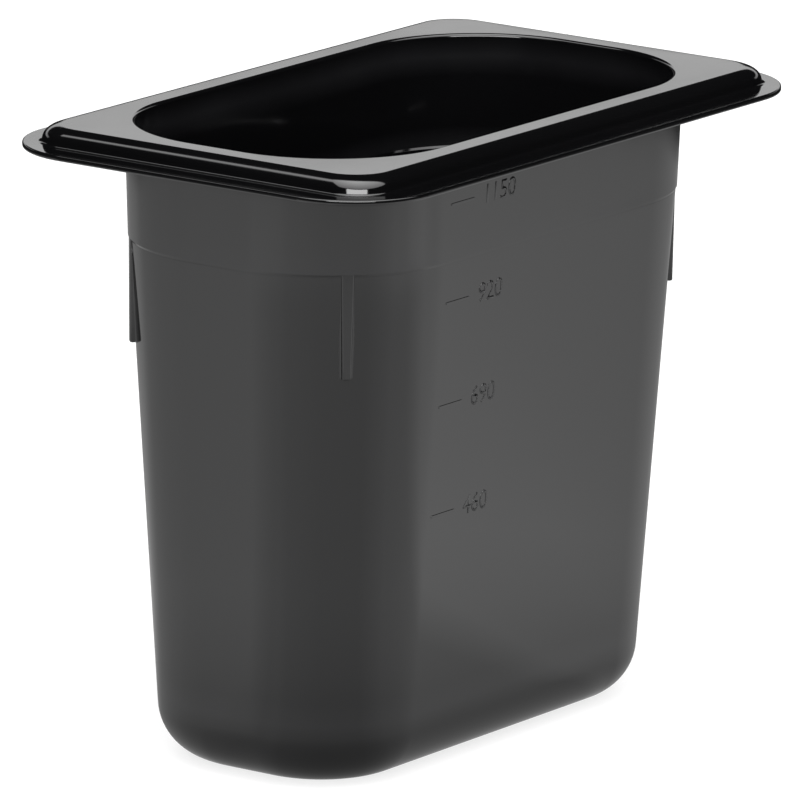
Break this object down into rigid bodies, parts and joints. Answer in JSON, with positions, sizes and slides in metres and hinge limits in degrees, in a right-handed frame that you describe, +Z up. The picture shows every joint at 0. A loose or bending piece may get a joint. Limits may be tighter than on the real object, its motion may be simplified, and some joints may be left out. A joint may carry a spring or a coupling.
{
  "type": "deli food pan",
  "caption": "Deep one-piece rectangular food pan with tapered walls, rounded corners and a wide flange that hangs it in a cold or hot well.",
  "frame": {"origin": "middle of the underside of the base, on the surface that the pan stands on", "axes": "+Z up, +X along the pan's long way, +Y across it"},
  "size_m": [0.176, 0.108, 0.1485],
  "materials": {
    "black_polycarbonate": "moulded gloss, black all through"
  },
  "bodies": {
    "root": {"base_and_cove": "black_polycarbonate", "tapered_tub": "black_polycarbonate", "stacking_band": "black_polycarbonate", "rim_flange": "black_polycarbonate"}
  },
  "joints": []
}
